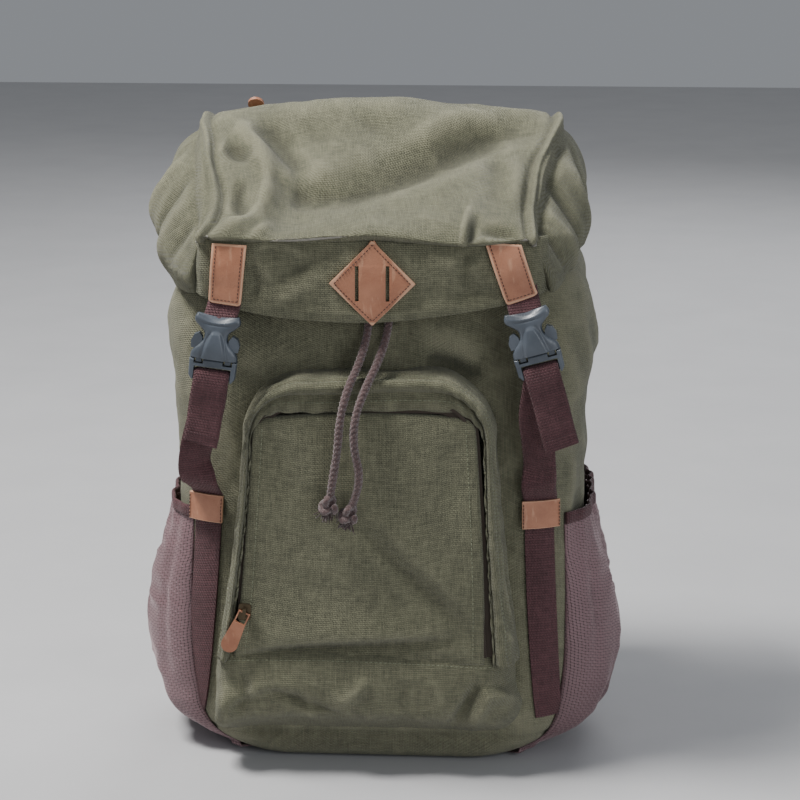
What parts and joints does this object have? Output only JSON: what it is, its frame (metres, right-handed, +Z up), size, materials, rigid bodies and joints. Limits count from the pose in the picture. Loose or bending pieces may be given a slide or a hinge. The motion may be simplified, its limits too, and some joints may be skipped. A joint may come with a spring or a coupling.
{
  "type": "school backpack",
  "caption": "Canvas school backpack with a buckled hinged lid, zipped front pocket, mesh side pockets, drawcord collar and padded shoulder straps.",
  "frame": {"origin": "centre of the flat base, on the surface that the bag stands on", "axes": "+Z up along the bag, the front with its pocket faces -Y, +X to the right seen from the front"},
  "size_m": [0.35, 0.2697, 0.47],
  "materials": {
    "canvas": "heavy woven cotton canvas, sage olive",
    "lining": "thin woven lining",
    "padding": "canvas over foam",
    "webbing": "ribbed maroon-brown webbing",
    "mesh": "open maroon mesh",
    "leather": "orange-tan leather with stitched edges",
    "buckle_plastic": "slate grey moulded plastic",
    "cord": "braided maroon cord",
    "zip_tape": "dark zip tape with nylon coil",
    "metal": "antique brass"
  },
  "bodies": {
    "bag": {"front_panel": "canvas", "back_panel": "canvas", "side_panel_left": "canvas", "side_panel_right": "canvas", "base_panel": "canvas", "collar": "canvas", "pocket_gusset": "canvas", "pocket_rim": "canvas", "pocket_face": "canvas", "pocket_skirt": "canvas", "back_pad": "padding", "shoulder_strap_left": "padding", "shoulder_strap_right": "padding", "back_yoke": "padding", "side_webbing_left": "webbing", "side_webbing_right": "webbing", "load_strap_left": "webbing", "load_strap_right": "webbing", "lower_webbing_left": "webbing", "lower_webbing_right": "webbing", "handle_tabs": "webbing", "mesh_bindings": "webbing", "corner_tabs": "webbing", "mesh_pocket_left": "mesh", "mesh_pocket_right": "mesh", "leather_patches": "leather", "buckle_male_left": "buckle_plastic", "buckle_male_right": "buckle_plastic", "strap_ladders": "buckle_plastic", "cord_lock_body": "buckle_plastic", "drawcord_loop": "cord", "drawcord_left": "cord", "drawcord_right": "cord", "cord_knot_left": "cord", "cord_knot_right": "cord", "pocket_zip_tape": "zip_tape", "collar_eyelets": "metal", "cord_lock_spring": "metal"},
    "lid": {"lid_top_panel": "canvas", "lid_front_band": "canvas", "lid_side_left": "canvas", "lid_side_right": "canvas", "lid_lining": "lining", "lid_patch": "leather", "lid_tab_left": "leather", "lid_tab_right": "leather", "tab_loops": "webbing", "buckle_female_left": "buckle_plastic", "buckle_female_right": "buckle_plastic", "lid_zip_tape": "zip_tape"},
    "lid_slider": {"lid_zip_slider": "metal"},
    "lid_pull": {"lid_zip_pull": "leather"},
    "pocket_slider": {"pocket_zip_slider": "metal"},
    "pocket_pull": {"pocket_zip_pull": "leather"},
    "handle": {"grab_handle": "webbing"},
    "plunger": {"cord_lock_plunger": "buckle_plastic"},
    "prong_left_outer_body": {"prong_left_outer": "buckle_plastic"},
    "prong_left_inner_body": {"prong_left_inner": "buckle_plastic"},
    "prong_right_outer_body": {"prong_right_outer": "buckle_plastic"},
    "prong_right_inner_body": {"prong_right_inner": "buckle_plastic"}
  },
  "joints": [
    {"name": "lid_hinge", "type": "hinge", "parent": "bag", "child": "lid", "pos_m": [0, 0.085, 0.432], "axis": [-1, 0, 0], "range_deg": [0, 120]},
    {"name": "lid_zip_slide", "type": "slide", "parent": "lid", "child": "lid_slider", "axis": [1, 0, 0], "range_m": [0, 0.19]},
    {"name": "lid_pull_swing", "type": "hinge", "parent": "lid_slider", "child": "lid_pull", "pos_m": [-0.102, 0.08524, 0.44697], "axis": [-1, 0, 0], "range_deg": [0, 160]},
    {"name": "pocket_zip_slide", "type": "slide", "parent": "bag", "child": "pocket_slider", "axis": [0.0707, 0, 0.9975], "range_m": [0, 0.12]},
    {"name": "pocket_pull_swing", "type": "hinge", "parent": "pocket_slider", "child": "pocket_pull", "pos_m": [-0.09205, -0.11935, 0.125], "axis": [-0.9063, 0, 0.4226], "range_deg": [0, 110]},
    {"name": "prong_left_outer_squeeze", "type": "hinge", "parent": "bag", "child": "prong_left_outer_body", "pos_m": [-0.12078, -0.1168, 0.30848], "axis": [0, 1, 0], "range_deg": [0, 14], "stiffness_Nm_per_rad": 0.4},
    {"name": "prong_left_inner_squeeze", "type": "hinge", "parent": "bag", "child": "prong_left_inner_body", "pos_m": [-0.10075, -0.1168, 0.30588], "axis": [0, 1, 0], "range_deg": [-14, 0], "stiffness_Nm_per_rad": 0.4},
    {"name": "prong_right_outer_squeeze", "type": "hinge", "parent": "bag", "child": "prong_right_outer_body", "pos_m": [0.12223, -0.1168, 0.3169], "axis": [0, -1, 0], "range_deg": [0, 14], "stiffness_Nm_per_rad": 0.4},
    {"name": "prong_right_inner_squeeze", "type": "hinge", "parent": "bag", "child": "prong_right_inner_body", "pos_m": [0.10279, -0.1168, 0.3114], "axis": [0, -1, 0], "range_deg": [-14, 0], "stiffness_Nm_per_rad": 0.4},
    {"name": "handle_swing", "type": "hinge", "parent": "bag", "child": "handle", "pos_m": [0, 0.0908, 0.402], "axis": [1, 0, 0], "range_deg": [0, 75]},
    {"name": "cord_lock_press", "type": "slide", "parent": "bag", "child": "plunger", "axis": [-1, 0, 0], "range_m": [0, 0.004], "stiffness_N_per_m": 300, "deforming": ["cord_lock_spring"]}
  ],
  "couplings": [
    {"joint": "prong_left_inner_squeeze", "follows": "prong_left_outer_squeeze", "ratio": -1},
    {"joint": "prong_right_inner_squeeze", "follows": "prong_right_outer_squeeze", "ratio": -1}
  ]
}
